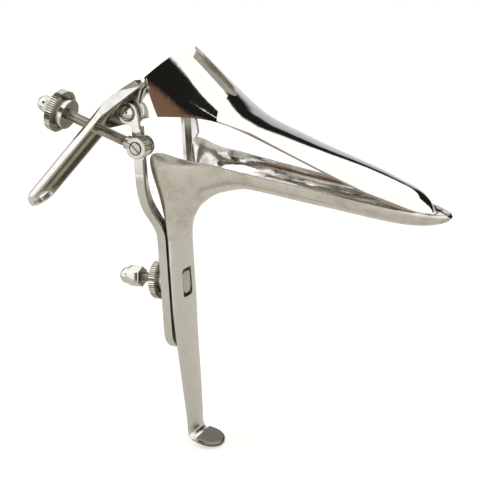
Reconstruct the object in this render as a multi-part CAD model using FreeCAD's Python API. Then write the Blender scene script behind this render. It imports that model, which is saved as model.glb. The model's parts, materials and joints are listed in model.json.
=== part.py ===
import FreeCAD, Part
import math
import os

# Bivalve speculum in pressed and polished stainless steel. The model is built about the
# blade pivot: +X runs along the blades to their tips, +Z up the handle, -Y is the side of
# the thumb lever. Every piece is moved at the end so that the origin is the middle of the
# flat underside of the handle's foot.

# Sheet and fits
sheet = 1.3                   # pressed sheet of both blades, the skirt and the handle
running_gap = 0.06            # radial clearance of a pin or thread in its hole
side_gap = 0.3                # free space between sheets that slide past each other

# Lower blade: a trough whose rim runs straight from the skirt's corner to the tip
corner_x = 6.8                # upper corner of the skirt, beside the yoke
corner_z = -16.0
rim_slope = 10.6              # degrees that the rim falls towards the tip
blade_tip_x = 114.8
skirt_half_width = 17.0
waist_x = 40.0                # where the skirt's flare ends and the blade begins
waist_half_width = 12.9
nose_x = 92.0                 # where the rounded tip begins
nose_half_width = 10.8
trough_depth = 9.0            # outside depth of the trough at the waist
nose_depth = 7.7

# Skirt and handle
handle_rim_x = 6.4            # proximal edges of the skirt and handle
skirt_edge = ((0.1, -0.9), (0.3, -0.1), (0.53, 0.0), (0.77, 0.0))   # share of height, bow
handle_half_width = 9.5
handle_crown = 2.3            # outside rise of the handle's convex distal face
skirt_foot_z = -52.0          # the skirt has narrowed to the handle here
elbow_end_z = -60.0           # the elbow between blade and handle ends here
elbow_fullness = 2.3          # exponent of the elbow's curve, 2 is an ellipse
taper_start_z = -80.0
taper_end_z = -133.0
handle_end_half_width = 6.4
handle_lean = 1.3             # the tapered end stands this much further forward
foot_thickness = 1.7
foot_bend_radius = 4.0
foot_turn = 77.0              # degrees from the handle round to the foot
foot_length = 9.7
foot_half_width = 6.6
foot_edge_round = 0.8

# Upper blade: an inverted trough that flares into a bell at its root. Each section has
# its place along the blade, its share of the flare from the nose's width to the bell's,
# the height of its lower edge and the height of its crest.
upper_sections = (
    (3.0, 1.0, -1.8, 34.5),
    (10.0, 0.95, -1.8, 28.3),
    (16.7, 0.89, -1.8, 22.1),
    (24.0, 0.80, -2.1, 14.9),
    (31.0, 0.70, -3.1, 7.5),
    (37.0, 0.62, -4.8, 1.1),
    (43.0, 0.55, -7.2, -4.2),
    (51.0, 0.50, -10.8, -7.8),
    (60.0, 0.45, -15.0, -11.2),
    (75.5, 0.35, -22.3, -16.7),
    (90.0, 0.17, -29.1, -21.9),
    (99.0, 0.0, -33.0, -25.8),
)
upper_tip_x = 109.6
upper_tip_slope = 0.35
upper_tip_taper = 1.2         # exponent that makes the tip's plan more pointed than round
nest_gap = 0.55               # sideways between the upper blade's nose and the lower blade
bell_half_width = 18.2
notch_half_width = 4.4
notch_end_x = 34.4
mouth_low = (9.3, -4.0)       # proximal edge of the bell, from below upwards
mouth_corner = (5.4, 12.4)
mouth_top = (16.4, 21.5)

# Pivot
pin_radius = 1.5
eye_radius = 4.1              # of the yoke's plates
ear_radius = 4.9              # of the blade's ears and the lever's plate
rivet_head_radius = 3.1
rivet_head_height = 1.8
rivet_tail_height = 0.9
rivet_tail_gap = 0.3          # between the tail and the bell's curved wall

# Yoke
yoke_sheet = 1.5
stem_back_x = 2.2             # proximal face of the stem's web
arm_back_x = 1.4              # and of the arms
yoke_depth = 3.6              # web and turned-up rim together
arm_crank_top_z = -38.0
arm_crank_bottom_z = -49.0
stem_half_width = 10.3
stem_bottom_z = -98.6
stem_corner_radius = 9.0
arm_narrowing = ((-23.0, 0.0), (-30.0, 0.5), (-36.0, 2.5), (-41.0, 5.8), (-45.5, 9.1))
arm_spread_bottom_z = -51.0   # the arms have closed to the stem here
near_arm_web = 6.4
far_arm_web = 4.2
web_top_z = -5.8
yoke_travel = 18.0
slot_clearance = 0.25

# Swivel and adjusting rod
swivel_x = 5.9
swivel_z = -12.0
boss_radius = 3.9
drum_radius = 4.1
drum_length = 4.8
drum_teeth = 28
drum_tooth_depth = 0.25
drum_recess_radius = 2.5
drum_recess_depth = 0.6
swivel_screw_radius = 1.4
swivel_screw_head_radius = 2.1
swivel_collar_radius = 2.6
swivel_screw_head_height = 0.8
swivel_slot_width = 0.6
rod_angle = 159.0             # degrees from +X, seen from the lever's side
thread_radius = 2.0
rod_neck_radius = 2.6
rod_neck_end = 6.6
nut_place = 31.4              # boss face of the nut, from the swivel's axis

# Knurled nuts and cap nuts
wheel_radius = 8.2
wheel_thickness = 2.7
wheel_teeth = 56
wheel_tooth_depth = 0.28
wheel_dish_radius = 6.9
wheel_dish_depth = 0.6
boss_nut_radius = 5.7
boss_nut_height = 3.1
clamp_boss_height = 4.4
cap_across_flats = 7.0
cap_hex_height = 3.7
cap_dome_radius = 3.15
cap_length = 8.2
cap_clearance = 0.2

# Thumb lever
lever_angle = 43.6            # degrees of the lever above level
lever_offset = 7.2            # outer face of its web from the pivot
lever_sheet = 1.4
lever_width = 12.8
lever_near_depth = 3.4
lever_far_depth = 4.7
lever_root = -11.6            # along the lever from the pivot, towards the thumb end
lever_root_dip = 1.5          # the root curls this much towards the pivot
lever_root_bend = 3.0         # where the curl and the taper begin
lever_tip = 57.0
lever_root_width = 3.4
lever_end_round = 3.0
lever_slot_half_width = 2.5
blade_opening = 35.0          # degrees that the upper blade tips up
rod_ratio = 0.55              # swing of the rod for each degree of the blade

# Clamp
clamp_z = -71.1
stud_head_width = 7.2
stud_head_height = 11.4
stud_shoulder_width = 10.0
stud_shoulder_height = 12.8
stud_shoulder_thickness = 1.8
window_side_gap = 0.05
window_end_gap = 0.1
window_corner_radius = 1.2
clamp_thread_length = 24.9    # from the yoke's web to the end of the cap nut

Y_AXIS = FreeCAD.Vector(0, 1, 0)


def vec(x, y, z):
    return FreeCAD.Vector(x, y, z)


def smooth_step(t):
    """0 to 1 along a half cosine."""
    t = min(max(t, 0.0), 1.0)
    return (1.0 - math.cos(math.pi * t)) / 2.0


def round_off(t):
    """1 to 0 along a quarter circle."""
    t = min(max(t, 0.0), 1.0)
    return math.sqrt(1.0 - t * t)


def trough_section(rim, crown, half_width, wall=sheet):
    """Closed C outline: the rims lie beside the point rim, the crown is the outer middle."""
    out = crown.sub(rim)
    depth = max(out.Length, wall + 0.1)
    out.normalize()

    def half_oval(width, height, turn):
        steps = 8
        points = []
        for k in range(steps + 1):
            angle = math.pi * (k / steps if turn > 0 else 1 - k / steps)
            side = Y_AXIS * (-width * math.cos(angle))
            points.append(rim.add(side).add(out * (height * math.sin(angle))))
        # The same knots in every section keep the lofted surface light
        curve = Part.BSplineCurve()
        curve.interpolate(Points=points, Parameters=[k / steps for k in range(steps + 1)])
        return curve.toShape(), points

    outer, outer_points = half_oval(half_width, depth, 1)
    inner, inner_points = half_oval(half_width - wall, depth - wall, -1)
    first = Part.makeLine(outer_points[-1], inner_points[0])
    last = Part.makeLine(inner_points[-1], outer_points[0])
    return Part.Wire([outer, first, inner, last])


def cylinder(radius, start, end):
    axis = end.sub(start)
    return Part.makeCylinder(radius, axis.Length, start, axis)


def side_prism(points, y_low, y_high):
    """A prism across the object from an outline of (x, z) points."""
    corners = [vec(x, y_low, z) for x, z in points]
    face = Part.Face(Part.makePolygon(corners + [corners[0]]))
    return face.extrude(vec(0, y_high - y_low, 0))


def box(x, y, z):
    return Part.makeBox(x[1] - x[0], y[1] - y[0], z[1] - z[0], vec(x[0], y[0], z[0]))


def toothed_disc(radius, depth, teeth, start, axis, thickness):
    """A knurled disc: straight teeth round its rim."""
    axis = FreeCAD.Vector(axis).normalize()
    points = []
    for k in range(2 * teeth):
        angle = math.pi * k / teeth
        reach = radius if k % 2 == 0 else radius - depth
        points.append(vec(reach * math.cos(angle), reach * math.sin(angle), 0))
    disc = Part.Face(Part.makePolygon(points + [points[0]])).extrude(vec(0, 0, thickness))
    turn = FreeCAD.Rotation(vec(0, 0, 1), axis)
    disc.Placement = FreeCAD.Placement(start, turn)
    return disc


def lower_rim_z(x):
    return corner_z - math.tan(math.radians(rim_slope)) * (x - corner_x)


def lower_half_width(x):
    if x < waist_x:
        flare = (waist_x - x) / (waist_x - corner_x)
        return waist_half_width + (skirt_half_width - waist_half_width) * flare ** 2
    taper = (x - waist_x) / (nose_x - waist_x)
    width = waist_half_width + (nose_half_width - waist_half_width) * taper
    return width * round_off((x - nose_x) / (blade_tip_x - nose_x))


def lower_depth(x):
    taper = (x - waist_x) / (nose_x - waist_x)
    depth = trough_depth + (nose_depth - trough_depth) * taper
    return depth * round_off((x - nose_x) / (blade_tip_x - nose_x))


def foot_bend_centre():
    return vec(handle_rim_x + handle_lean + foot_bend_radius, 0, taper_end_z - 1.5)


def foot_inward(degrees):
    """Direction from the sheet towards the centre of the foot's bend."""
    angle = math.radians(degrees)
    return vec(math.cos(angle), 0, math.sin(angle))


def blade_and_handle():
    """Blade, skirt, handle and foot as one trough that turns down at the elbow."""
    sections = []
    tip_stations = [0.985, 0.94, 0.84, 0.66, 0.4]
    nose_length = blade_tip_x - nose_x
    stations = [nose_x + nose_length * t for t in tip_stations]
    stations += [nose_x + (waist_x - nose_x) * k / 3 for k in range(4)]
    for x in stations:
        rim = vec(x, 0, lower_rim_z(x))
        crown = vec(x + 1.2, 0, lower_rim_z(x) - lower_depth(x))
        sections.append(trough_section(rim, crown, max(lower_half_width(x), 2.4)))

    # The elbow's sections fan out about the skirt's corner
    handle_crown_x = handle_rim_x + handle_crown
    start = vec(waist_x + 1.2, 0, lower_rim_z(waist_x) - trough_depth)
    reach_x = start.x - handle_crown_x
    reach_z = start.z - elbow_end_z
    blade_rims = [0.55, 0.27, 0.0]
    fan = len(blade_rims) + len(skirt_edge) + 1
    for k in range(1, fan):
        angle = math.pi / 2 * k / fan
        power = 2.0 / elbow_fullness
        crown_x = start.x - reach_x * math.sin(angle) ** power
        crown_z = elbow_end_z + reach_z * math.cos(angle) ** power
        if k <= len(blade_rims):
            rim_x = corner_x + (waist_x - corner_x) * blade_rims[k - 1]
            rim = vec(rim_x, 0, lower_rim_z(rim_x))
            width = lower_half_width(rim_x)
        else:
            share, bow = skirt_edge[k - 1 - len(blade_rims)]
            rim_z = corner_z + (elbow_end_z - corner_z) * share
            rim = vec(handle_rim_x + bow, 0, rim_z)
            narrowing = smooth_step((corner_z - rim_z) / (corner_z - skirt_foot_z))
            width = skirt_half_width + (handle_half_width - skirt_half_width) * narrowing
        sections.append(trough_section(rim, vec(crown_x, 0, crown_z), width))

    handle_stations = [0.0, 0.5, 1.0]
    for t in handle_stations:
        z = elbow_end_z + (taper_start_z - elbow_end_z) * t
        rim = vec(handle_rim_x, 0, z)
        sections.append(trough_section(rim, vec(handle_crown_x, 0, z), handle_half_width))
    taper_steps = 4
    for k in range(1, taper_steps + 1):
        t = k / taper_steps
        z = taper_start_z + (taper_end_z - taper_start_z) * t
        x = handle_rim_x + handle_lean * smooth_step(t)
        width = handle_half_width + (handle_end_half_width - handle_half_width) * t
        crown = x + handle_crown - (handle_crown - foot_thickness) * t
        sections.append(trough_section(vec(x, 0, z), vec(crown, 0, z), width))

    # The foot turns forward round its bend
    centre = foot_bend_centre()
    bend_steps = 4
    for k in range(0, bend_steps + 1):
        inward = foot_inward(foot_turn * k / bend_steps)
        rim = centre.sub(inward * foot_bend_radius)
        sections.append(trough_section(rim, rim.add(inward * foot_thickness),
                                       handle_end_half_width))
    pressing = Part.makeLoft(sections, True, False)

    # Tongue of the foot, flat underneath, with a rounded upper edge
    length = foot_length - foot_half_width
    corners = [vec(0, -handle_end_half_width, 0), vec(length * 0.5, -foot_half_width, 0),
               vec(length, -foot_half_width, 0), vec(foot_length, 0, 0),
               vec(length, foot_half_width, 0), vec(length * 0.5, foot_half_width, 0),
               vec(0, handle_end_half_width, 0)]
    sides = [Part.makeLine(corners[k], corners[k + 1]) for k in (0, 1, 4, 5)]
    sides.insert(2, Part.Arc(corners[2], corners[3], corners[4]).toShape())
    sides.append(Part.makeLine(corners[6], corners[0]))
    tongue = Part.Face(Part.Wire(sides)).extrude(vec(0, 0, foot_thickness))
    upper = [e for e in tongue.Edges if e.BoundBox.ZMin > foot_thickness - 0.01
             and e.BoundBox.XMax > 0]
    tongue = tongue.makeFillet(foot_edge_round, upper)
    tongue.rotate(vec(0, 0, 0), vec(0, 1, 0), 90 - foot_turn)
    tongue.translate(centre.sub(foot_inward(foot_turn) * foot_bend_radius))
    pressing = pressing.fuse(tongue).removeSplitter()

    # Window that the clamp stud's head fills from side to side
    window_height = stud_head_height + 2 * window_end_gap
    half = stud_head_width / 2 + window_side_gap
    window = box((0, handle_crown_x + 5), (-half, half),
                 (clamp_z - window_height / 2, clamp_z + window_height / 2))
    long_edges = [e for e in window.Edges if abs(e.BoundBox.XLength) > 1]
    window = window.makeFillet(window_corner_radius, long_edges)
    return pressing.cut(window)


def lower_blade():
    """The blade with its skirt, down to the seam where the handle is welded on."""
    return blade_and_handle().common(box((-50, 200), (-50, 50), (skirt_foot_z, 50)))


def handle():
    return blade_and_handle().common(box((-50, 200), (-50, 50), (-200, skirt_foot_z)))


def foot_face():
    """Middle of the flat underside of the foot's tongue."""
    angle = math.radians(foot_turn)
    forward = vec(math.sin(angle), 0, -math.cos(angle))
    heel = foot_bend_centre().sub(foot_inward(foot_turn) * foot_bend_radius)
    return heel.add(forward * (foot_length / 2))


def ear(side):
    """Plate from the disc round the pivot to the fold where the bell begins."""
    thick = vec(0, -side * sheet, 0)
    root = [vec(1.0, side * bell_half_width, -3.2),
            vec(1.0, side * bell_half_width, ear_radius - 0.1)]
    fold = [vec(mouth_low[0] + 1.2, side * (bell_half_width - 0.62), -1.7),
            vec(mouth_corner[0] + 0.9, side * (bell_half_width - 1.55), mouth_corner[1] - 0.3)]
    quads = []
    for low, high in (root, fold):
        quads.append(Part.makePolygon([low, high, high.add(thick), low.add(thick), low]))
    plate = Part.makeLoft(quads, True, True)
    disc = cylinder(ear_radius, vec(0, side * bell_half_width, 0),
                    vec(0, side * (bell_half_width - sheet), 0))
    return plate.fuse(disc)


def upper_blade():
    """Inverted trough with a bell, a notch in its crest and an ear at each side."""
    sections = []
    last_x, _, last_base, last_crest = upper_sections[-1]
    nose_width = lower_half_width(last_x) - sheet - nest_gap
    for x, flare, base, crest in upper_sections:
        half_width = nose_width + (bell_half_width - nose_width) * flare
        sections.append(trough_section(vec(x, 0, base), vec(x, 0, crest), half_width))
    nose_length = upper_tip_x - last_x
    for t in (0.45, 0.75, 0.92, 0.985):
        base = last_base - upper_tip_slope * nose_length * t
        rise = (last_crest - last_base) * round_off(t)
        width = max(nose_width * round_off(t) ** upper_tip_taper, 2.4)
        x = last_x + nose_length * t
        sections.append(trough_section(vec(x, 0, base), vec(x, 0, base + rise), width))
    blade = Part.makeLoft(sections, True, False)

    # Proximal mouth of the bell, cut to its slanting edge
    far = 60.0
    slope = (mouth_top[1] - mouth_corner[1]) / (mouth_top[0] - mouth_corner[0])
    mouth = [(-far, mouth_low[1] - far), (mouth_low[0], mouth_low[1] - far), mouth_low,
             mouth_corner, (mouth_corner[0] + far, mouth_corner[1] + far * slope),
             (-far, far * 2)]
    blade = blade.cut(side_prism(mouth, -far, far))

    # Notch in the crest with a round end
    end = notch_end_x - notch_half_width
    notch = box((-far, end), (-notch_half_width, notch_half_width), (0, far))
    notch = notch.fuse(Part.makeCylinder(notch_half_width, far, vec(end, 0, 0)))
    blade = blade.cut(notch)
    blade = blade.fuse([ear(-1), ear(1)])
    hole = cylinder(pin_radius + running_gap, vec(0, -far, 0), vec(0, far, 0))
    return blade.cut(hole)


# Sheets stacked along the pivot, from the ear outwards
lever_inner_y = -bell_half_width
lever_plate_y = lever_inner_y - lever_sheet
near_plate_inner_y = lever_plate_y - side_gap
near_plate_outer_y = near_plate_inner_y - yoke_sheet
far_plate_inner_y = bell_half_width + side_gap
far_plate_outer_y = far_plate_inner_y + yoke_sheet
rod_y = lever_inner_y - lever_width / 2
drum_back_y = rod_y + drum_length / 2
drum_front_y = rod_y - drum_length / 2


def arm_edge(side):
    return -near_plate_outer_y if side < 0 else far_plate_outer_y


def yoke_outline(side, inset):
    """Half outline of the yoke from the arm's top down to the middle of the stem's end."""
    half = stem_half_width - inset
    bottom = stem_bottom_z + inset
    corner = stem_corner_radius - inset
    top = vec(0, side * (arm_edge(side) - inset), 0)
    points = []
    for z, narrowing in arm_narrowing:
        points.append(vec(0, side * (arm_edge(side) - inset - narrowing), z))
    points.append(vec(0, side * half, arm_spread_bottom_z))
    spread = Part.BSplineCurve()
    spread.interpolate(points)
    corner_top = vec(0, side * half, bottom + corner)
    corner_end = vec(0, side * (half - corner), bottom)
    reach = corner * (1 - math.sqrt(0.5))
    corner_middle = vec(0, side * (half - reach), bottom + reach)
    edges = [Part.makeLine(top, points[0]), spread.toShape(),
             Part.makeLine(points[-1], corner_top),
             Part.Arc(corner_top, corner_middle, corner_end).toShape(),
             Part.makeLine(corner_end, vec(0, 0, bottom))]
    return edges, top


def yoke_plate(inset):
    near_edges, near_top = yoke_outline(-1, inset)
    far_edges, far_top = yoke_outline(1, inset)
    top = Part.makeLine(far_top, near_top)
    wire = Part.Wire(Part.__sortEdges__(near_edges + far_edges + [top]))
    plate = Part.Face(wire).extrude(vec(60, 0, 0))
    plate.translate(vec(-30, 0, 0))
    return plate


def yoke_slab(back, front):
    """Side profile of the yoke, cranked where the arms meet the stem."""
    crank = stem_back_x - arm_back_x
    points = [(back, 10), (back, arm_crank_top_z), (back + crank, arm_crank_bottom_z),
              (back + crank, -120), (front + crank, -120), (front + crank, arm_crank_bottom_z),
              (front, arm_crank_top_z), (front, 10)]
    return side_prism(points, -40, 40)


def yoke():
    """Pressed Y plate: a slotted stem, two arms round the mouth, and a hinge plate on each."""
    rim_x = arm_back_x + yoke_depth
    plate = yoke_plate(0.0).common(yoke_slab(arm_back_x, rim_x))
    plate = plate.cut(yoke_plate(yoke_sheet).common(yoke_slab(arm_back_x + yoke_sheet, rim_x + 1)))

    # Opening between the arms, with a round lower end
    bottom_z = arm_spread_bottom_z + 4.0
    points = []
    for side in (-1, 1):
        branch = []
        for z, narrowing in arm_narrowing:
            half = arm_edge(side) - (near_arm_web if side < 0 else far_arm_web) - narrowing
            branch.append(vec(0, side * half, z + 1.5))
        points += branch if side < 0 else [vec(0, 0, bottom_z)] + branch[::-1]
    curve = Part.BSplineCurve()
    curve.interpolate(points)
    top_near = vec(0, points[0].y, 20)
    top_far = vec(0, points[-1].y, 20)
    sides = [Part.makeLine(top_near, points[0]), curve.toShape(),
             Part.makeLine(points[-1], top_far), Part.makeLine(top_far, top_near)]
    mouth = Part.Face(Part.Wire(sides)).extrude(vec(60, 0, 0))
    mouth.translate(vec(-30, 0, 0))
    plate = plate.cut(mouth)

    # The arms end below the pivot, where the hinge plates carry on alone
    plate = plate.cut(box((-5, 30), (-40, 40), (web_top_z, 30)))

    # Hinge plates: an eye on the pivot and, on the lever's side, a boss for the swivel
    solids = []
    for low, high in ((near_plate_outer_y, near_plate_inner_y),
                      (far_plate_inner_y, far_plate_outer_y)):
        eye = cylinder(eye_radius, vec(0, low, 0), vec(0, high, 0))
        neck = [(-2.6, -3.1), (0.6, -4.7), (3.6, -7.4), (3.2, -12.0), (arm_back_x, -12.0),
                (arm_back_x, -18.0), (rim_x, -18.0), (7.2, -14.2), (6.6, -9.0), (4.7, -6.8),
                (4.2, 0.0), (0.0, 0.0)]
        if low > 0:
            neck[2:5] = [(arm_back_x, -5.4)]
        solids += [eye, side_prism(neck, low, high)]
    boss = cylinder(boss_radius, vec(swivel_x, near_plate_outer_y, swivel_z),
                    vec(swivel_x, near_plate_inner_y, swivel_z))
    plate = plate.fuse(solids + [boss]).removeSplitter()

    hole = cylinder(pin_radius, vec(0, -60, 0), vec(0, 60, 0))
    plate = plate.cut(hole)
    tapped = cylinder(swivel_screw_radius, vec(swivel_x, -60, swivel_z), vec(swivel_x, 0, swivel_z))
    plate = plate.cut(tapped)

    # Slot that the clamp stud runs in as the yoke slides up the handle
    half = thread_radius + slot_clearance
    slot_low = clamp_z - yoke_travel
    slot = box((-5, 30), (-half, half), (slot_low, clamp_z))
    for z in (slot_low, clamp_z):
        slot = slot.fuse(cylinder(half, vec(-5, 0, z), vec(30, 0, z)))
    return plate.cut(slot)


def domed_rivet(outer_y, inner_y, out):
    """Rivet on the pivot: domed head outside, flat tail inside."""
    shank = cylinder(pin_radius, vec(0, outer_y, 0), vec(0, inner_y, 0))
    ball = (rivet_head_radius ** 2 + rivet_head_height ** 2) / (2 * rivet_head_height)
    centre = vec(0, outer_y + out * (rivet_head_height - ball), 0)
    dome = Part.makeSphere(ball, centre)
    slab = cylinder(rivet_head_radius, vec(0, outer_y, 0),
                    vec(0, outer_y + out * rivet_head_height, 0))
    tail = cylinder(rivet_head_radius - 0.4, vec(0, inner_y, 0),
                    vec(0, inner_y - out * rivet_tail_height, 0))
    return shank.fuse([dome.common(slab), tail])


def near_pivot_rivet():
    return domed_rivet(near_plate_outer_y, -bell_half_width + sheet + rivet_tail_gap, -1)


def far_pivot_rivet():
    return domed_rivet(far_plate_outer_y, bell_half_width - sheet - rivet_tail_gap, 1)


def lever_frame(shape):
    """Turn a shape drawn with X along the lever and Z into its hollow side into place."""
    turned = shape.copy()
    turned.rotate(vec(0, 0, 0), vec(0, 1, 0), 180.0 - lever_angle)
    return turned


def lever_direction(opening):
    angle = math.radians(180.0 + lever_angle + opening)
    return vec(math.cos(angle), 0, math.sin(angle))


def rod_crossing(opening):
    """Place along the lever where the rod's axis meets the web, at an opening in degrees."""
    along = lever_direction(opening)
    back = vec(along.z, 0, -along.x)
    angle = math.radians(rod_angle + rod_ratio * opening)
    rod = vec(math.cos(angle), 0, math.sin(angle))
    swivel = vec(swivel_x, 0, swivel_z)
    level = lever_offset - lever_sheet / 2
    reach = (level - swivel.dot(back)) / rod.dot(back)
    return swivel.add(rod * reach).dot(along)


def lever_plan(inset):
    """Outline of the lever seen square to its web, tapered at the root and round at the tip."""
    y_far = lever_inner_y - inset
    y_near = lever_inner_y - lever_width + inset
    radius = lever_width / 2 - inset
    centre = lever_tip - lever_width / 2
    root = lever_root + inset
    root_y = lever_inner_y - lever_root_width + inset * 0.2
    points = [vec(root, y_far, 0), vec(centre, y_far, 0), vec(centre + radius, rod_y, 0),
              vec(centre, y_near, 0), vec(lever_root_bend, y_near, 0), vec(root, root_y, 0)]
    edges = [Part.makeLine(points[0], points[1]),
             Part.Arc(points[1], points[2], points[3]).toShape(),
             Part.makeLine(points[3], points[4]), Part.makeLine(points[4], points[5]),
             Part.makeLine(points[5], points[0])]
    return Part.Face(Part.Wire(edges))


def lever_side(level, top):
    """Side view of the lever: straight from the thumb end, then curling down at its root."""
    span = lever_root_bend - lever_root
    root = vec(lever_root - 1, -60, level + lever_root_dip * (1 + 1 / span) ** 2)
    middle = vec(lever_root_bend - span / 2, -60, level + lever_root_dip / 4)
    bend = vec(lever_root_bend, -60, level)
    end = vec(lever_tip + 1, -60, level)
    edges = [Part.Arc(root, middle, bend).toShape(), Part.makeLine(bend, end),
             Part.makeLine(end, vec(lever_tip + 1, -60, top)),
             Part.makeLine(vec(lever_tip + 1, -60, top), vec(lever_root - 1, -60, top)),
             Part.makeLine(vec(lever_root - 1, -60, top), root)]
    return Part.Face(Part.Wire(edges)).extrude(vec(0, 60, 0))


def round_tip(solid, level, radius):
    """Round the edge between the web and the end of the thumb scoop."""
    centre = lever_tip - lever_width / 2
    edges = [e for e in solid.Edges if abs(e.BoundBox.ZMin - level) < 1e-3
             and abs(e.BoundBox.ZMax - level) < 1e-3 and e.BoundBox.XMin > centre - 1]
    return solid.makeFillet(radius, edges)


def thumb_lever():
    """Pressed channel with a scooped thumb end; its far side is the plate on the blade's ear."""
    top = -lever_offset
    high = top + 12.0
    outside = lever_plan(0).extrude(vec(0, 0, 40))
    outside.translate(vec(0, 0, -20))
    tray = round_tip(outside.common(lever_side(top, high)), top, lever_end_round)
    inside = lever_plan(lever_sheet).extrude(vec(0, 0, 40))
    inside.translate(vec(0, 0, -20))
    hollow = inside.common(lever_side(top + lever_sheet, high + 5))
    hollow = round_tip(hollow, top + lever_sheet, lever_end_round - lever_sheet)
    tray = tray.cut(hollow)

    # The rim slopes from the deep far side to the shallow near side
    near_y = lever_inner_y - lever_width
    wedge = [vec(-60, near_y - 1, top + lever_near_depth),
             vec(-60, lever_plate_y, top + lever_far_depth),
             vec(-60, lever_inner_y + 1, top + lever_far_depth),
             vec(-60, lever_inner_y + 1, top + 30), vec(-60, near_y - 1, top + 30)]
    wedge = Part.Face(Part.makePolygon(wedge + [wedge[0]])).extrude(vec(160, 0, 0))
    tray = tray.cut(wedge)

    # Plate on the ear, round the pivot
    plate_points = [vec(lever_root, lever_plate_y, top + 1.8), vec(lever_root, lever_plate_y, -3.8),
                    vec(-7.2, lever_plate_y, -1.4), vec(-4.0, lever_plate_y, 0.5),
                    vec(0.0, lever_plate_y, 4.0), vec(4.4, lever_plate_y, 2.0),
                    vec(12.0, lever_plate_y, top + lever_far_depth),
                    vec(12.0, lever_plate_y, top + 0.2), vec(lever_root_bend, lever_plate_y, top + 0.2)]
    plate = Part.Face(Part.makePolygon(plate_points + [plate_points[0]]))
    plate = plate.extrude(vec(0, lever_sheet, 0))
    eye = cylinder(ear_radius, vec(0, lever_plate_y, 0), vec(0, lever_inner_y, 0))
    lever = tray.fuse([plate, eye]).removeSplitter()
    lever = lever.cut(cylinder(pin_radius + running_gap, vec(0, -60, 0), vec(0, 0, 0)))

    # Long hole for the adjusting rod
    ends = [rod_crossing(0.0), rod_crossing(blade_opening)]
    spare = 1.6
    low, far = min(ends) - spare, max(ends) + spare
    half = lever_slot_half_width
    slot = box((low, far), (rod_y - half, rod_y + half), (top - 5, top + lever_sheet + 2))
    for x in (low, far):
        slot = slot.fuse(cylinder(half, vec(x, rod_y, top - 5), vec(x, rod_y, top + lever_sheet + 2)))
    return lever_frame(lever.cut(slot))


def along_rod(distance):
    angle = math.radians(rod_angle)
    return vec(swivel_x + distance * math.cos(angle), rod_y, swivel_z + distance * math.sin(angle))


def swivel_head():
    """Knurled drum that turns on the swivel screw, with a socket for the rod."""
    start = vec(swivel_x, drum_back_y, swivel_z)
    drum = toothed_disc(drum_radius, drum_tooth_depth, drum_teeth, start, vec(0, -1, 0), drum_length)
    neck = cylinder(rod_neck_radius, along_rod(0), along_rod(rod_neck_end - 1.4))
    inside = cylinder(drum_radius - drum_tooth_depth, start, vec(swivel_x, drum_front_y, swivel_z))
    behind = vec(swivel_x, drum_back_y + rod_neck_radius, swivel_z)
    drum = drum.fuse(neck.cut(cylinder(drum_radius - drum_tooth_depth, behind, start))).fuse(inside)
    bore = cylinder(swivel_screw_radius + running_gap, vec(swivel_x, 0, swivel_z),
                    vec(swivel_x, -60, swivel_z))
    recess = cylinder(drum_recess_radius, vec(swivel_x, drum_front_y + drum_recess_depth, swivel_z),
                      vec(swivel_x, -60, swivel_z))
    drum = drum.cut(recess)
    socket = cylinder(thread_radius, along_rod(swivel_screw_radius + 1.0), along_rod(rod_neck_end))
    return drum.cut(bore).cut(socket)


def swivel_screw():
    """Slotted screw that holds the swivel head on the yoke."""
    head_y = drum_front_y + drum_recess_depth - running_gap
    shank = cylinder(swivel_screw_radius, vec(swivel_x, near_plate_inner_y, swivel_z),
                     vec(swivel_x, head_y, swivel_z))
    collar = cylinder(swivel_collar_radius, vec(swivel_x, near_plate_outer_y, swivel_z),
                      vec(swivel_x, drum_back_y + running_gap, swivel_z))
    head = cylinder(swivel_screw_head_radius, vec(swivel_x, head_y, swivel_z),
                    vec(swivel_x, head_y - swivel_screw_head_height, swivel_z))
    slot = box((swivel_x - 4, swivel_x + 4),
               (head_y - swivel_screw_head_height - 1, head_y - swivel_screw_head_height / 2),
               (swivel_z - swivel_slot_width / 2, swivel_z + swivel_slot_width / 2))
    slot.rotate(vec(swivel_x, 0, swivel_z), vec(0, 1, 0), 45)
    return shank.fuse([collar, head]).cut(slot)


nut_outer = nut_place + boss_nut_height + wheel_thickness
cap_start = nut_outer + cap_clearance


def adjusting_rod():
    """Threaded rod from the swivel head's socket to the cap nut."""
    end = cap_start + cap_length - cap_dome_radius
    return cylinder(thread_radius, along_rod(swivel_screw_radius + 1.0), along_rod(end))


def knurled_nut(boss_face, axis, boss_height=boss_nut_height):
    """Knurled wheel with a boss; boss_face is the boss's end, axis points to the wheel."""
    axis = FreeCAD.Vector(axis).normalize()
    wheel_face = boss_face.add(axis * boss_height)
    boss = cylinder(boss_nut_radius, boss_face, wheel_face)
    wheel = toothed_disc(wheel_radius, wheel_tooth_depth, wheel_teeth, wheel_face, axis,
                         wheel_thickness)
    dish = cylinder(wheel_dish_radius, wheel_face, wheel_face.add(axis * wheel_dish_depth))
    nut = wheel.cut(dish).fuse(cylinder(boss_nut_radius, boss_face,
                                        wheel_face.add(axis * (wheel_dish_depth + 0.5))))
    nut = nut.fuse(boss)
    far_end = wheel_face.add(axis * (wheel_thickness + 1))
    hole = cylinder(thread_radius + running_gap, boss_face.sub(axis), far_end)
    return nut.cut(hole)


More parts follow.
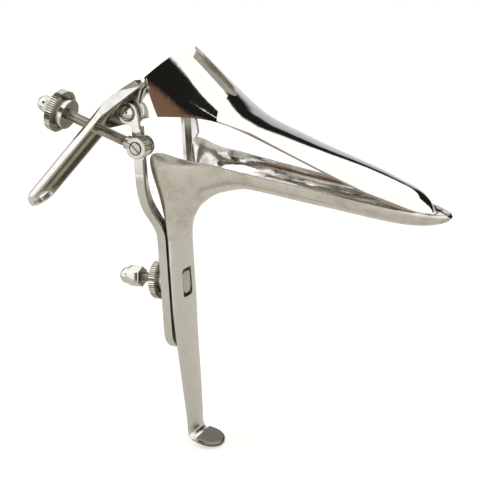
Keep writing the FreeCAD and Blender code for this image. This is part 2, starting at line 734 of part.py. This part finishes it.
def cap_nut(start, axis):
    """Hexagon nut with a domed blind end, from its open face along axis."""
    axis = FreeCAD.Vector(axis).normalize()
    points = []
    for k in range(6):
        angle = math.radians(60 * k + 15)
        reach = cap_across_flats / math.sqrt(3)
        points.append(vec(reach * math.cos(angle), reach * math.sin(angle), 0))
    hexagon = Part.Face(Part.makePolygon(points + [points[0]])).extrude(vec(0, 0, cap_hex_height))
    chamfer = Part.makeCone(cap_across_flats / 2 + 1.6, cap_across_flats / 2 - 0.2,
                            1.8, vec(0, 0, cap_hex_height - 1.0))
    base = Part.makeCylinder(cap_across_flats, cap_hex_height - 1.0)
    hexagon = hexagon.common(base.fuse(chamfer))
    barrel_end = cap_length - cap_dome_radius
    barrel = Part.makeCylinder(cap_dome_radius, barrel_end)
    dome = Part.makeSphere(cap_dome_radius, vec(0, 0, barrel_end))
    nut = hexagon.fuse([barrel, dome])
    nut = nut.cut(Part.makeCylinder(thread_radius, barrel_end))
    nut.Placement = FreeCAD.Placement(start, FreeCAD.Rotation(vec(0, 0, 1), axis))
    return nut


def rod_axis():
    return along_rod(1).sub(along_rod(0))


def adjusting_nut():
    return knurled_nut(along_rod(nut_place), rod_axis())


def rod_cap_nut():
    return cap_nut(along_rod(cap_start), rod_axis())


def clamp_stud():
    """Stud fixed in the handle's window, with a shoulder behind the handle."""
    crown_x = handle_rim_x + handle_crown
    half_w, half_h = stud_head_width / 2, stud_head_height / 2
    inner_x = crown_x - sheet
    head = box((inner_x - 0.5, crown_x), (-half_w, half_w),
               (clamp_z - half_h + half_w, clamp_z + half_h - half_w))
    for side in (-1, 1):
        z = clamp_z + side * (half_h - half_w)
        head = head.fuse(cylinder(half_w, vec(inner_x - 0.5, 0, z), vec(crown_x, 0, z)))
    shoulder_x = stem_back_x + yoke_sheet + side_gap
    shoulder = box((shoulder_x, shoulder_x + stud_shoulder_thickness),
                   (-stud_shoulder_width / 2, stud_shoulder_width / 2),
                   (clamp_z - stud_shoulder_height / 2, clamp_z + stud_shoulder_height / 2))
    core = box((shoulder_x, inner_x), (-half_w + 0.6, half_w - 0.6),
               (clamp_z - half_h + 1.4, clamp_z + half_h - 1.4))
    stem = cylinder(thread_radius, vec(shoulder_x, 0, clamp_z),
                    vec(stem_back_x - clamp_thread_length + cap_dome_radius, 0, clamp_z))
    return head.fuse([shoulder, core, stem]).removeSplitter()


def clamp_wheel():
    return knurled_nut(vec(stem_back_x - side_gap / 2, 0, clamp_z), vec(-1, 0, 0), clamp_boss_height)


def clamp_cap_nut():
    start = stem_back_x - clamp_thread_length + cap_length
    return cap_nut(vec(start, 0, clamp_z), vec(-1, 0, 0))


pieces = {
    "lower_blade": lower_blade,
    "handle": handle,
    "upper_blade": upper_blade,
    "thumb_lever": thumb_lever,
    "yoke": yoke,
    "near_pivot_rivet": near_pivot_rivet,
    "far_pivot_rivet": far_pivot_rivet,
    "swivel_head": swivel_head,
    "swivel_screw": swivel_screw,
    "adjusting_rod": adjusting_rod,
    "adjusting_nut": adjusting_nut,
    "rod_cap_nut": rod_cap_nut,
    "clamp_stud": clamp_stud,
    "clamp_wheel": clamp_wheel,
    "clamp_cap_nut": clamp_cap_nut,
}

origin = foot_face()
os.makedirs("parts", exist_ok=True)
for name, make in pieces.items():
    shape = make()
    shape.translate(origin * -1)
    print(name, shape.ShapeType, len(shape.Solids), shape.isValid(), round(shape.Volume, 1))
    shape.exportStep("parts/" + name + ".step")
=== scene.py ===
import json
import math
import bpy
from mathutils import Matrix, Vector


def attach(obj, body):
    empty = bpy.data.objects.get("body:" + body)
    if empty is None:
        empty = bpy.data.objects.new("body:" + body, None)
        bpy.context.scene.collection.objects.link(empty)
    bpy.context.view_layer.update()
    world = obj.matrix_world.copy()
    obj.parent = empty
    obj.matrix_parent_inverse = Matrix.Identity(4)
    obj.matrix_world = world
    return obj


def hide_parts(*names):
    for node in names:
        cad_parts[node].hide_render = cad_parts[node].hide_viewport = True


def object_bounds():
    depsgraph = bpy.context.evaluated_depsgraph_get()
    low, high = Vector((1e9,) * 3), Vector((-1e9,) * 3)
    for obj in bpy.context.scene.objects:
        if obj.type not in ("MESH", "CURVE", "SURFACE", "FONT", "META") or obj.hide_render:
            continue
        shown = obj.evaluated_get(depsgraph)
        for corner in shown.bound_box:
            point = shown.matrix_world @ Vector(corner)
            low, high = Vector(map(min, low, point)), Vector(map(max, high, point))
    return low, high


# Bivalve speculum of polished stainless steel. Metres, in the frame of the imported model:
# the origin is the middle of the foot's underside, +X runs to the blade tips, +Z up the
# handle and -Y is the side of the thumb lever.
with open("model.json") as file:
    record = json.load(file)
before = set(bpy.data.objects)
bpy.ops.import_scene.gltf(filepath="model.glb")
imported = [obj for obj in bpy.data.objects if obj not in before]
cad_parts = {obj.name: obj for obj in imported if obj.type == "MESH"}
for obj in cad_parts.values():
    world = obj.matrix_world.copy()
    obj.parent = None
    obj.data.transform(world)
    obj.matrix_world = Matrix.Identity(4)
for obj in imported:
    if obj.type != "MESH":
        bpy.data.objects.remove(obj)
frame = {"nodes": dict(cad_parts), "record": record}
nodes = frame["nodes"]
cad_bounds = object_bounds()
bpy.ops.object.select_all(action="DESELECT")


# Camera at the photograph's angle. The lens sees the whole instrument from the lever's side,
# a little from above, and is rolled slightly as in the picture.
camera_azimuth = math.radians(26.66)
camera_elevation = math.radians(15.89)
camera_roll = math.radians(-2.94)
camera_distance = 0.400
camera_target = Vector((0.01744, 0.0, 0.08760))

turn = (Matrix.Rotation(camera_azimuth, 3, "Z")
        @ Matrix.Rotation(math.pi / 2 - camera_elevation, 3, "X")
        @ Matrix.Rotation(camera_roll, 3, "Z"))
lens = bpy.data.cameras.new("view")
lens.sensor_width = 36.0
lens.lens = 77.9
lens.clip_start = 0.01
viewer = bpy.data.objects.new("view", lens)
viewer.matrix_world = Matrix.Translation(camera_target + turn.col[2] * camera_distance) @ turn.to_4x4()
bpy.context.scene.collection.objects.link(viewer)
bpy.context.scene.camera = viewer
bpy.context.scene.view_settings.view_transform = "Standard"


# Studio: a white ceiling of soft light, a dark room at the viewer's side and a pale sweep
# behind, which polished steel shows as white, black and grey. The camera itself sees white.
class Value:
    """One output socket of a node tree, with arithmetic that adds Math nodes."""

    def __init__(self, graph, socket):
        self.graph = graph
        self.socket = socket

    def math(self, operation, other=None, first=None):
        inputs = {0: self if first is None else first}
        if other is not None or first is not None:
            inputs[1] = self if first is not None else other
        return self.graph.node("ShaderNodeMath", {"operation": operation}, inputs)

    def __add__(self, other):
        return self.math("ADD", other)

    __radd__ = __add__

    def __sub__(self, other):
        return self.math("SUBTRACT", other)

    def __rsub__(self, other):
        return self.math("SUBTRACT", first=other)

    def __mul__(self, other):
        return self.math("MULTIPLY", other)

    __rmul__ = __mul__


class Graph:
    """Node tree of a material or world. A node takes its settings first, then its inputs."""

    def __init__(self, tree):
        self.tree = tree
        tree.nodes.clear()

    def node(self, kind, settings=None, inputs=None, output=0):
        made = self.tree.nodes.new(kind)
        for name, setting in (settings or {}).items():
            setattr(made, name, setting)
        for name, given in (inputs or {}).items():
            socket = made.inputs[name]
            if isinstance(given, Value):
                self.tree.links.new(given.socket, socket)
            else:
                socket.default_value = given
        return Value(self, made.outputs[output]) if made.outputs else None

    def ramp(self, value, low, high, start=0.0, end=1.0):
        """Smooth change from start to end while value goes from low to high."""
        inputs = {"Value": value, "From Min": low, "From Max": high, "To Min": start, "To Max": end}
        return self.node("ShaderNodeMapRange", {"interpolation_type": "SMOOTHSTEP"}, inputs)

    def blend(self, mask, first, second):
        """Colour that is first where mask is 0 and second where it is 1."""
        return self.node("ShaderNodeMix", {"data_type": "RGBA"}, {0: mask, 6: first, 7: second}, 2)

    def axes(self, vector):
        parts = self.node("ShaderNodeSeparateXYZ", None, {0: vector}).socket.node
        return [Value(self, socket) for socket in parts.outputs]


ceiling_white = (1.2, 1.2, 1.19, 1)
sweep_grey = (0.47, 0.475, 0.50, 1)
sweep_pale = (0.72, 0.725, 0.76, 1)
room_black = (0.012, 0.012, 0.010, 1)
bench_brown = (0.19, 0.112, 0.07, 1)
plain_white = (1, 1, 1, 1)

studio = bpy.data.worlds.new("studio")
studio.use_nodes = True
bpy.context.scene.world = studio
sky = Graph(studio.node_tree)
east, north, up = sky.axes(sky.node("ShaderNodeTexCoord", None, None, "Generated"))
toward = east * math.sin(camera_azimuth) - north * math.cos(camera_azimuth)
aside = east * math.cos(camera_azimuth) + north * math.sin(camera_azimuth)
behind = sky.ramp(toward, -0.35, -0.55)

# Behind the table a grey sweep, and above it a dark line under the edge of the white ceiling
sweep = sky.blend(sky.ramp(up, 0.15, 0.42), sweep_pale, sweep_grey)
colour = sky.blend(behind * sky.ramp(up, 0.50, 0.44), ceiling_white, sweep)
colour = sky.blend(behind * sky.ramp(up, 0.41, 0.45) * sky.ramp(up, 0.62, 0.57), colour, room_black)

# A black flag on the right, a little behind the instrument
flag = sky.ramp(aside, 0.52, 0.60) * sky.ramp(toward, -0.05, -0.15) * sky.ramp(up, 0.62, 0.56)
flag = flag * sky.ramp(up, -0.02, 0.06)
colour = sky.blend(flag, colour, room_black)

# The dark room left of the viewer, with the brown edge of a bench low down in it
above = sky.node("ShaderNodeMath", {"operation": "MAXIMUM"}, {0: up - 0.43, 1: 0.0}) * 1.25
room = sky.ramp(aside - above, -0.385, -0.42) * sky.ramp(aside, -0.78, -0.73) * sky.ramp(toward, 0.2, 0.4)
room = room * sky.ramp(up, 0.92, 0.86) * sky.ramp(up, -0.26, -0.20)
colour = sky.blend(room, colour, room_black)
bench = sky.node("ShaderNodeMath", {"operation": "MAXIMUM"},
                 {0: sky.ramp(aside, -0.60, -0.69), 1: sky.ramp(up, -0.03, -0.09)})
colour = sky.blend(room * bench, colour, bench_brown)
seen = sky.node("ShaderNodeLightPath", None, None, "Is Camera Ray")
colour = sky.blend(seen, colour, plain_white)
shown = sky.node("ShaderNodeBackground", None, {"Color": colour, "Strength": 1.0})
sky.node("ShaderNodeOutputWorld", None, {"Surface": shown})


# Floor of the studio: a plain pale board a hair below the foot. It ends before the viewer,
# where the room is dark.
floor_gap = 0.0005
floor_near = 0.30
floor_size = 2.4
floor_albedo = (0.62, 0.595, 0.545, 1)
floor_lift = 0.52

floor_z = cad_bounds[0][2] - floor_gap
bpy.ops.mesh.primitive_plane_add(size=floor_size)
floor = bpy.context.object
floor.name = "floor"
ahead = Vector((math.sin(camera_azimuth), -math.cos(camera_azimuth), 0))
centre = camera_target - ahead * (floor_size / 2 - floor_near)
floor.data.transform(Matrix.Translation((centre.x, centre.y, floor_z))
                     @ Matrix.Rotation(camera_azimuth, 4, "Z"))
board = bpy.data.materials.new("pale_board")
board.use_nodes = True
graph = Graph(board.node_tree)
paths = graph.node("ShaderNodeLightPath").socket.node
lift = Value(graph, paths.outputs["Is Camera Ray"]) * floor_lift
matt = graph.node("ShaderNodeBsdfDiffuse", None, {"Color": floor_albedo})
glow = graph.node("ShaderNodeEmission", None, {"Color": plain_white, "Strength": lift})
both = graph.node("ShaderNodeAddShader", None, {0: matt, 1: glow})
graph.node("ShaderNodeOutputMaterial", None, {"Surface": both})
floor.data.materials.append(board)


# Soft lamp above and behind the viewer's left shoulder.
lamp = bpy.data.lights.new("soft_lamp", "AREA")
lamp.energy = 1.2
lamp.size = 0.5
soft = bpy.data.objects.new("soft_lamp", lamp)
place = Vector((-0.45, -0.35, 0.75))
soft.matrix_world = (Matrix.Translation(place)
                     @ (place - camera_target).to_track_quat("Z", "Y").to_matrix().to_4x4())
bpy.context.scene.collection.objects.link(soft)


# Lower blade: a drawn trough with its skirt, satin outside from the finishing belt and
# bright inside. The sheet is warm grey with faint blotches.
def steel(name, colour, roughness, shade, wave=0.00012, grain=0.0, grain_along=(1, 1, 1), mottle=0.0,
          edge=0.00025, dirt_and_shade=None, form=None):
    """Stainless steel that is drawn, ground and polished by hand, with softened edges.

    dirt gives more of the shade colour, for grime and for painted shade, and form a height in metres, from
    the place on the object.
    """
    made = bpy.data.materials.new(name)
    made.use_nodes = True
    graph = Graph(made.node_tree)
    where = graph.node("ShaderNodeTexCoord", None, None, "Object")
    cloud = graph.node("ShaderNodeTexNoise", None,
                       {"Vector": where, "Scale": 160.0, "Detail": 4.0, "Roughness": 0.6})
    spots = graph.node("ShaderNodeTexNoise", None,
                       {"Vector": where, "Scale": 900.0, "Detail": 3.0, "Roughness": 0.65})
    swell = graph.node("ShaderNodeTexNoise", None,
                       {"Vector": where, "Scale": 55.0, "Detail": 1.0})
    stain_and_shade = graph.ramp(cloud, 0.42, 0.72) * mottle + graph.ramp(spots, 0.55, 0.8) * (mottle * 0.5)
    if dirt_and_shade:
        stain_and_shade = stain_and_shade + dirt_and_shade(graph, where)
    tint = graph.blend(stain_and_shade, (*colour, 1), (*shade, 1))
    rough = graph.ramp(cloud, 0.3, 0.75, roughness * 0.85, roughness * 1.25)
    relief = {"Strength": 1.0, "Distance": wave, "Height": swell}
    if edge:
        relief["Normal"] = graph.node("ShaderNodeBevel", {"samples": 4}, {"Radius": edge})
    normal = graph.node("ShaderNodeBump", None, relief)
    if grain:
        stretched = graph.node("ShaderNodeMapping", None, {"Vector": where, "Scale": grain_along})
        lines = graph.node("ShaderNodeTexNoise", None, {"Vector": stretched, "Scale": 1.0, "Detail": 2.0})
        normal = graph.node("ShaderNodeBump", None,
                            {"Strength": 1.0, "Distance": grain, "Height": lines, "Normal": normal})
    if form:
        bent = {"Strength": 1.0, "Distance": 1.0, "Height": form(graph, where), "Normal": normal}
        normal = graph.node("ShaderNodeBump", None, bent)
    surface = graph.node("ShaderNodeBsdfPrincipled", None,
                         {"Base Color": tint, "Metallic": 1.0, "Roughness": rough, "Normal": normal})
    graph.node("ShaderNodeOutputMaterial", None, {"Surface": surface})
    return made


def dress(name, *materials, second=None):
    """Gives one CAD node its finish, and the faces for which second is true another one."""
    mesh = nodes[name].data
    mesh.materials.clear()
    for material in materials:
        mesh.materials.append(material)
    for face in mesh.polygons:
        face.material_index = 1 if second and second(face) else 0


warm_grey = (0.80, 0.775, 0.71)
warm_shade = (0.50, 0.44, 0.34)
bright = (0.86, 0.85, 0.83)

belt_grain = 0.000004
satin = steel("blade_satin", warm_grey, 0.26, warm_shade, grain=belt_grain, grain_along=(60, 1500, 1500),
              mottle=0.5)
bright_inside = steel("blade_inside", (0.80, 0.785, 0.76), 0.09, (0.30, 0.26, 0.21), wave=0.0004,
                      mottle=0.6)

# A face looks inwards where its normal points back to the line that the sheet's edges follow
skirt_edge_x = -0.0091
skirt_corner = Vector((-0.0087, 0, 0.1235))
rim_run = Vector((math.cos(math.radians(10.6)), 0, -math.sin(math.radians(10.6))))


def inside_trough(face):
    spot = face.center
    along = (spot - skirt_corner).dot(rim_run)
    on_rim = skirt_corner + rim_run * max(along, 0)
    on_skirt = Vector((skirt_edge_x, 0, min(spot.z, skirt_corner.z)))
    nearest = min((on_rim, on_skirt), key=lambda point: (spot - point).length)
    return face.normal.dot(spot - nearest) < 0


dress("lower_blade", satin, bright_inside, second=inside_trough)


# Handle: the same sheet, belt-ground along its length to a fine even satin. The foot bent out
# of its end is darkened on top and round its edge with painted shade.
foot_bend_x = -0.004
foot_bend_z = 0.0062


def on_foot(face):
    return face.center.z < foot_bend_z and face.center.x > foot_bend_x and face.normal.z > -0.3


handle_satin = steel("handle_satin", (0.79, 0.775, 0.73), 0.24, (0.62, 0.58, 0.51), wave=0.00005,
                     grain=belt_grain, grain_along=(1500, 1500, 60), mottle=0.1)
foot_painted_shade = steel("foot_satin_painted_shade", (0.27, 0.25, 0.22), 0.22, (0.18, 0.165, 0.14), mottle=0.3)
dress("handle", handle_satin, foot_painted_shade, second=on_foot)


# Upper blade: drawn from one sheet with its bell and polished to a mirror. Its two flat ears,
# which take the pivot rivets, turn outwards a little at a bend beside the bell's mouth, and
# polishing has left a slight change of direction where the bell runs into the blade. A band
# of painted shade darkens the lower rim.
pivot = Vector(frame["record"]["behaviour"]["joints"][1]["pos_m"])
ear_bend_x = pivot.x + 0.0054
ear_bend_z = pivot.z + 0.0124
ear_bend_lean = 0.368
ear_turn = 0.105
waist_x = 0.018
waist_turn = 0.12
waist_length = 0.006
rim_start = Vector((0.020, 0, 0.1350))
rim_fall = 0.36
rim_steeper_x = 0.030
rim_flatter_x = 0.0725
rim_band_top = 0.0008
rim_band_core = 0.0005
ear_edge_x = 0.0040
ear_lean = 0.55
ear_height = 0.0125


def blade_form(graph, where):
    x, y, z = graph.axes(where)
    past = x - ear_bend_x - (ear_bend_z - z) * ear_bend_lean
    ear = graph.node("ShaderNodeMath", {"operation": "MINIMUM"}, {0: past, 1: 0.0}) * ear_turn
    blade = graph.node("ShaderNodeMath", {"operation": "MAXIMUM"}, {0: x - waist_x, 1: 0.0}) * waist_turn
    return ear - blade


def rim_shade(graph, where):
    """Mask of a thin band of painted shade along the rim, whose height falls towards the nose in three runs.
    """
    x, y, z = graph.axes(where)
    steeper = graph.node("ShaderNodeMath", {"operation": "MAXIMUM"}, {0: x - rim_steeper_x, 1: 0.0})
    flatter = graph.node("ShaderNodeMath", {"operation": "MAXIMUM"}, {0: x - rim_flatter_x, 1: 0.0})
    rim_z = (rim_start.x - x) * rim_fall - steeper * 0.112 + flatter * 0.077 + rim_start.z
    band = graph.ramp(z - rim_z, rim_band_top, rim_band_core)
    return band * graph.ramp(x, waist_x - waist_length, waist_x)


# The ears and the faces inside the blade get a duller, darker steel: painted shade.
def on_ear_or_inside(face):
    spot = face.center - pivot
    on_ear = spot.x < ear_edge_x and spot.x * ear_lean + ear_height > spot.z
    return on_ear or face.normal.y * face.center.y < -0.25 * abs(face.center.y)


blade_mirror = steel("blade_mirror", bright, 0.055, (0.27, 0.21, 0.165), wave=0.00005, mottle=0.05,
                     edge=0.0, dirt_and_shade=rim_shade, form=blade_form)
ear_and_inside_painted_shade = steel("ear_and_inside_painted_shade", (0.52, 0.50, 0.44), 0.24, (0.34, 0.31, 0.25), mottle=0.4,
                   form=blade_form)
dress("upper_blade", blade_mirror, ear_and_inside_painted_shade, second=on_ear_or_inside)


# Thumb lever: pressed channel, polished on the outside and in the scoop of its thumb end, and
# dull and darkened with painted shade in the hollow.
lever_tip = Vector((-0.0568, 0, 0.0999))
lever_bright = steel("lever_mirror", (0.84, 0.83, 0.80), 0.12, (0.55, 0.51, 0.44), mottle=0.25)
lever_hollow_painted_shade = steel("lever_hollow_painted_shade", (0.40, 0.38, 0.32), 0.20, (0.24, 0.215, 0.16), mottle=0.4)
near_flange_y = -0.0255
scoop_reach = 0.0075


def in_hollow(face):
    from_tip = Vector((face.center.x - lever_tip.x, 0, face.center.z - lever_tip.z)).length
    return from_tip > scoop_reach and (face.normal.y > -0.7 or face.center.y > near_flange_y)


dress("thumb_lever", lever_bright, lever_hollow_painted_shade, second=in_hollow)


# Yoke: pressed fork, polished. Its faces that look towards the blade tips are darkened with painted shade,
# and a painted shadow rings the rivets.
def away_from(graph, where, middle, along):
    """Distance of a place from the line through middle that runs along a direction."""
    offset = graph.node("ShaderNodeVectorMath", {"operation": "SUBTRACT"}, {0: where, 1: middle})
    across = graph.node("ShaderNodeVectorMath", {"operation": "CROSS_PRODUCT"}, {0: offset, 1: along})
    return graph.node("ShaderNodeVectorMath", {"operation": "LENGTH"}, {0: across}, "Value")


# A painted shadow of the rivet head darkens the yoke round the pivot.
def rivet_painted_shadow(graph, where):
    return graph.ramp(away_from(graph, where, pivot, (0, 1, 0)), 0.0037, 0.0032)


yoke_bright = steel("yoke_mirror", (0.76, 0.745, 0.71), 0.12, (0.30, 0.28, 0.23), mottle=0.15,
                    dirt_and_shade=rivet_painted_shadow)
yoke_painted_shade = steel("yoke_painted_shade", (0.34, 0.325, 0.28), 0.22, (0.22, 0.20, 0.16), mottle=0.4)
dress("yoke", yoke_bright, yoke_painted_shade, second=lambda face: face.normal.x > 0.6)


# Rivets: domed heads, polished, with a rim darkened by painted shade.
def rivet_rim_painted_shade(graph, where):
    return graph.ramp(away_from(graph, where, pivot, (0, 1, 0)), 0.0023, 0.0029)


rivet_steel = steel("rivet_polished", (0.80, 0.78, 0.74), 0.10, (0.16, 0.15, 0.12), mottle=0.15,
                    dirt_and_shade=rivet_rim_painted_shade)
dress("near_pivot_rivet", rivet_steel)
dress("far_pivot_rivet", rivet_steel)


# Swivel: turned drum on its screw, which sits in a counterbore. The slot and the counterbore
# are darkened with painted shade.
swivel_centre = Vector(frame["record"]["behaviour"]["joints"][2]["pos_m"])


def bore_painted_shade(graph, where):
    return graph.ramp(away_from(graph, where, swivel_centre, (0, 1, 0)), 0.0027, 0.0024)


dress("swivel_head", steel("swivel_steel", (0.70, 0.675, 0.61), 0.20, (0.20, 0.18, 0.14), mottle=0.25,
                           dirt_and_shade=bore_painted_shade))
screw_bright = steel("screw_steel", (0.62, 0.59, 0.53), 0.22, (0.35, 0.31, 0.25), mottle=0.5)
painted_recess_shade = steel("painted_recess_shade_steel", (0.14, 0.13, 0.11), 0.35, (0.08, 0.07, 0.06), mottle=0.4)
dress("swivel_screw", screw_bright, painted_recess_shade, second=lambda face: abs(face.normal.y) < 0.8)


# Adjusting rod: bar with a V thread of 0.7 mm pitch, cut up to the swivel's neck. The thread
# is a triangle wound round the bar.
rod_run = Vector((0.93358, 0, -0.35837))
pitch = 0.0007
wire_radius = pitch * 0.58
grime_and_shade_crest = 0.00197
grime_and_shade_root = 0.00172


def threaded_bar(name, start, run, length, thread_start, thread_end, crest=0.002, root=0.00167):
    """Bar from start along run, threaded between two distances from its start.

    A triangular wire is wound round the bar and its ends are filled.
    """
    bpy.ops.object.select_all(action="DESELECT")
    depth = crest - root
    bpy.ops.mesh.primitive_circle_add(vertices=3, radius=wire_radius, rotation=(math.pi / 2, math.pi / 2, 0),
                                      location=(crest - wire_radius, 0, thread_start))
    ridge = bpy.context.object
    bpy.ops.object.transform_apply(location=True, rotation=True, scale=True)
    screw = ridge.modifiers.new("thread", "SCREW")
    screw.axis = "Z"
    screw.steps = screw.render_steps = 24
    screw.screw_offset = pitch
    screw.iterations = int((thread_end - thread_start) / pitch)
    bpy.ops.object.modifier_apply(modifier=screw.name)
    bpy.ops.object.mode_set(mode="EDIT")
    bpy.ops.mesh.select_all(action="SELECT")
    bpy.ops.mesh.remove_doubles(threshold=0.000001)
    bpy.ops.mesh.fill_holes(sides=3)
    bpy.ops.mesh.normals_make_consistent(inside=False)
    bpy.ops.object.mode_set(mode="OBJECT")
    bpy.ops.object.select_all(action="DESELECT")
    bpy.ops.mesh.primitive_cylinder_add(vertices=32, radius=root, depth=length, location=(0, 0, length / 2))
    bar = bpy.context.object
    bpy.ops.object.transform_apply(location=True, rotation=True, scale=True)
    bpy.ops.object.mode_set(mode="EDIT")
    bpy.ops.mesh.select_all(action="SELECT")
    bpy.ops.mesh.bevel(offset=depth, segments=2, affect="EDGES", clamp_overlap=True)
    bpy.ops.object.mode_set(mode="OBJECT")
    ridge.select_set(True)
    bpy.ops.object.join()
    bar.name = name
    bar.data.name = name
    bpy.ops.object.shade_smooth_by_angle(angle=math.radians(32))
    bar.data.transform(Matrix.Translation(start) @ run.to_track_quat("Z", "Y").to_matrix().to_4x4())
    return bar


def groove_grime_and_shade(middle, along, crest, root):
    """Grime and painted shade in the grooves of a thread or knurl that reach from crest down to root."""
    def grime_and_shade(graph, where):
        radius = away_from(graph, where, middle, along)
        return graph.ramp(radius, crest, root) * graph.ramp(radius, root - 0.0005, root - 0.0003)
    return grime_and_shade


rod = threaded_bar("threaded_rod", swivel_centre - rod_run * 0.0024, -rod_run, 0.04, 0.0038, 0.0385)
thread_steel = steel("thread_steel", (0.84, 0.815, 0.75), 0.18, (0.36, 0.32, 0.26), mottle=0.2, edge=0.0,
                     dirt_and_shade=groove_grime_and_shade(swivel_centre, rod_run, grime_and_shade_crest, grime_and_shade_root))
rod.data.materials.append(thread_steel)
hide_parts("adjusting_rod")
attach(rod, "rod")


# Knurled nuts and domed nuts: bright where the knurl and the dome are rubbed, with painted
# shade darkening their flat faces.
clamp_axis = Vector((pivot.x, 0, 0.068388))
knurl_top = 0.00817
knurl_root = 0.00796
flat_face_painted_shade = steel("knurled_face_painted_shade", (0.26, 0.25, 0.205), 0.22, (0.15, 0.13, 0.10), mottle=0.5)
knurls = (("adjusting_nut", swivel_centre, rod_run), ("clamp_wheel", clamp_axis, Vector((1, 0, 0))))
for name, middle, run in knurls:
    rim_name = "knurled_rim" if name == "clamp_wheel" else "knurled_steel"
    rim_bright = steel(rim_name, (0.78, 0.765, 0.71), 0.16, (0.24, 0.21, 0.16), mottle=0.15, edge=0.0,
                       dirt_and_shade=groove_grime_and_shade(middle, run, knurl_top, knurl_root))
    dress(name, rim_bright, flat_face_painted_shade, second=lambda face: face.normal.dot(run) > 0.6)
dome_bright = steel("cap_nut_steel", (0.76, 0.745, 0.70), 0.11, (0.46, 0.42, 0.36), mottle=0.3)
dress("rod_cap_nut", dome_bright, flat_face_painted_shade, second=lambda face: face.normal.dot(rod_run) > 0.6)


# Clamp stud: its flat head stands in the handle's window with a gap round it, on a shoulder
# behind the sheet. The stem is threaded for the wheel and the nut.
def block(width, height, corner, edge, depth, place):
    """Plate with round corners whose face, with softened edges, looks along +X."""
    bpy.ops.object.select_all(action="DESELECT")
    bpy.ops.mesh.primitive_plane_add(size=1)
    plate = bpy.context.object
    bpy.ops.object.mode_set(mode="EDIT")
    bpy.ops.transform.resize(value=(width, height, 1))
    bpy.ops.mesh.bevel(offset=corner, segments=8, affect="VERTICES")
    bpy.ops.mesh.extrude_region_move(TRANSFORM_OT_translate={"value": (0, 0, depth)})
    bpy.ops.mesh.bevel(offset=edge, segments=2, affect="EDGES")
    bpy.ops.mesh.select_all(action="SELECT")
    bpy.ops.mesh.normals_make_consistent(inside=False)
    bpy.ops.object.mode_set(mode="OBJECT")
    bpy.ops.object.shade_smooth_by_angle(angle=math.radians(32))
    toward_blades = Vector((1, 0, 0)).to_track_quat("Z", "Y").to_matrix().to_4x4()
    plate.data.transform(Matrix.Translation(place) @ toward_blades)
    return plate


stud_z = clamp_axis.z
head_back = -0.0092
shoulder_back = -0.01155
head = block(0.0057, 0.0094, 0.0022, 0.0005, 0.0045, (-0.0116, 0, stud_z))
shoulder = block(0.0100, 0.0128, 0.0012, 0.0002, 0.0018, (-0.011526, 0, stud_z))
stud = threaded_bar("window_stud", Vector((-0.0112, 0, stud_z)), Vector((-1, 0, 0)), 0.0238, 0.0024, 0.0230)
head.select_set(True)
shoulder.select_set(True)
bpy.ops.object.join()
stud_steel = steel("stud_steel", (0.66, 0.635, 0.56), 0.22, (0.30, 0.27, 0.20), mottle=0.3, edge=0.0,
                   dirt_and_shade=groove_grime_and_shade(clamp_axis, Vector((1, 0, 0)), grime_and_shade_crest, grime_and_shade_root))
head_steel = steel("stud_head", (0.60, 0.575, 0.49), 0.22, (0.36, 0.33, 0.26), mottle=0.4)
stud.data.materials.append(stud_steel)
stud.data.materials.append(head_steel)
stud.data.materials.append(painted_recess_shade)
for face in stud.data.polygons:
    if face.center.x > head_back:
        face.material_index = 1
    # The shoulder's face, seen through the gap round the head, is darkened with painted shadow.
    elif face.center.x > shoulder_back and face.normal.x > 0.5:
        face.material_index = 2
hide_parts("clamp_stud")
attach(stud, "handle")


# Clamp cap nut: a long hexagon with a corner towards the viewer and a polished dome.
nut_base = -0.0278
nut_height = 0.0060
nut_flats = 0.0076
dome_radius = 0.00345
nut_length = 0.0104
overlap = 0.001
nut_turn = math.radians(8)
bpy.ops.object.select_all(action="DESELECT")
bpy.ops.mesh.primitive_cylinder_add(vertices=6, radius=nut_flats / math.sqrt(3), depth=nut_height,
                                    location=(0, 0, nut_height / 2), rotation=(0, 0, nut_turn))
hexagon = bpy.context.object
bpy.ops.object.transform_apply(location=True, rotation=True, scale=True)
bpy.ops.object.mode_set(mode="EDIT")
bpy.ops.mesh.select_all(action="SELECT")
bpy.ops.mesh.bevel(offset=0.0004, segments=3, affect="EDGES")
bpy.ops.object.mode_set(mode="OBJECT")
wall_length = nut_length - dome_radius - overlap
bpy.ops.mesh.primitive_cylinder_add(vertices=40, radius=dome_radius, depth=wall_length,
                                    location=(0, 0, overlap + wall_length / 2))
wall = bpy.context.object
bpy.ops.mesh.primitive_uv_sphere_add(segments=40, ring_count=20, radius=dome_radius,
                                     location=(0, 0, nut_length - dome_radius))
cap = bpy.context.object
hexagon.select_set(True)
wall.select_set(True)
bpy.ops.object.join()
bpy.ops.object.transform_apply(location=True, rotation=True, scale=True)
bpy.ops.object.shade_smooth_by_angle(angle=math.radians(32))
cap.name = "long_cap_nut"
cap.data.name = "long_cap_nut"
outwards = Vector((-1, 0, 0)).to_track_quat("Z", "Y").to_matrix().to_4x4()
cap.data.transform(Matrix.Translation((nut_base, 0, stud_z)) @ outwards)
cap.data.materials.append(steel("long_nut_steel", (0.80, 0.785, 0.74), 0.11, (0.46, 0.42, 0.36), mottle=0.3))
# The nut's flat base takes the same painted shade.
cap.data.materials.append(flat_face_painted_shade)
for face in cap.data.polygons:
    if face.normal.x > 0.9 and face.center.x > nut_base - 0.0002:
        face.material_index = 1
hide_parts("clamp_cap_nut")
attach(cap, "handle")
